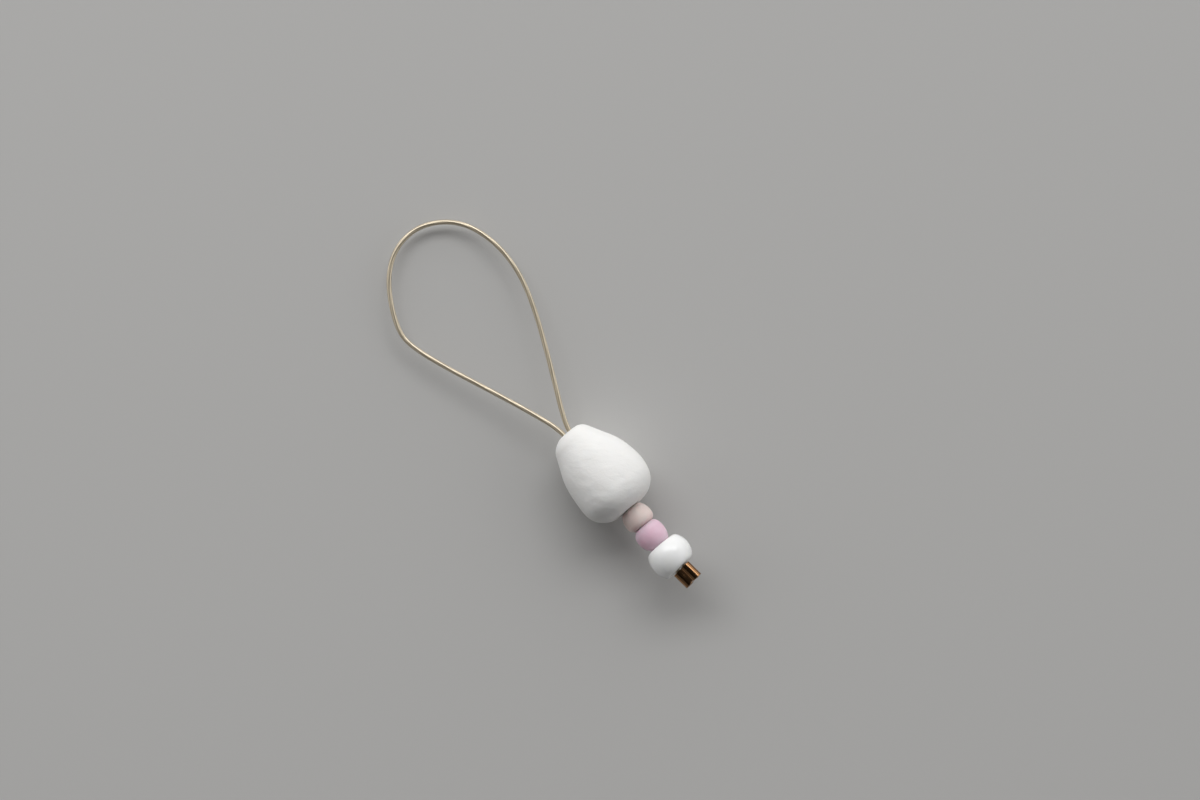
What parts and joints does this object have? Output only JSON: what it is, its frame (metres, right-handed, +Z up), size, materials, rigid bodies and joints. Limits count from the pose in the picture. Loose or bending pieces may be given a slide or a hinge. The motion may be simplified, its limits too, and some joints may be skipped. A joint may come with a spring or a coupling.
{
  "type": "stitch marker",
  "caption": "Knitting stitch marker: an open loop of springy beading wire with beads threaded on its doubled ends, held by a squeezed crimp tube.",
  "frame": {"origin": "on the flat that the clay bead rests on, midway along it and under the wire, at the surface", "axes": "+Z up; +X along the wire, seen from above, from the loop towards the crimp; +Y to the left of that"},
  "size_m": [0.0453, 0.0137, 0.0076],
  "materials": {
    "beading_wire": "fine twisted steel strands under a clear champagne-gold nylon coat, satin",
    "crimp_bronze": "polished dark bronze",
    "white_clay": "matte unglazed, hand-formed, with faint dents",
    "blush_glass": "matte frosted opaque glass",
    "mauve_glass": "matte frosted opaque glass",
    "pearl_glass": "gloss opaque white glass"
  },
  "bodies": {
    "wire": {"wire_loop": "beading_wire", "left_wire_tail": "beading_wire", "right_wire_tail": "beading_wire", "crimp_tube": "crimp_bronze"},
    "pearl_bead": {"pearl_bead": "pearl_glass"},
    "mauve_bead": {"mauve_bead": "mauve_glass"},
    "blush_bead": {"blush_bead": "blush_glass"},
    "clay_bead": {"clay_bead": "white_clay"}
  },
  "joints": [
    {"name": "stack_slide", "type": "slide", "parent": "wire", "child": "pearl_bead", "axis": [-0.9962, 0, -0.0872], "range_m": [0, 0.003], "deforming": ["wire_loop"]},
    {"name": "mauve_bead_spin", "type": "hinge", "parent": "pearl_bead", "child": "mauve_bead", "pos_m": [-0.00607, 0, 0.003], "axis": [0.9962, 0, 0.0872], "continuous": true},
    {"name": "blush_bead_spin", "type": "hinge", "parent": "pearl_bead", "child": "blush_bead", "pos_m": [-0.00607, 0, 0.003], "axis": [0.9962, 0, 0.0872], "continuous": true},
    {"name": "clay_bead_spin", "type": "hinge", "parent": "pearl_bead", "child": "clay_bead", "pos_m": [-0.00607, 0, 0.003], "axis": [0.9962, 0, 0.0872], "continuous": true}
  ]
}
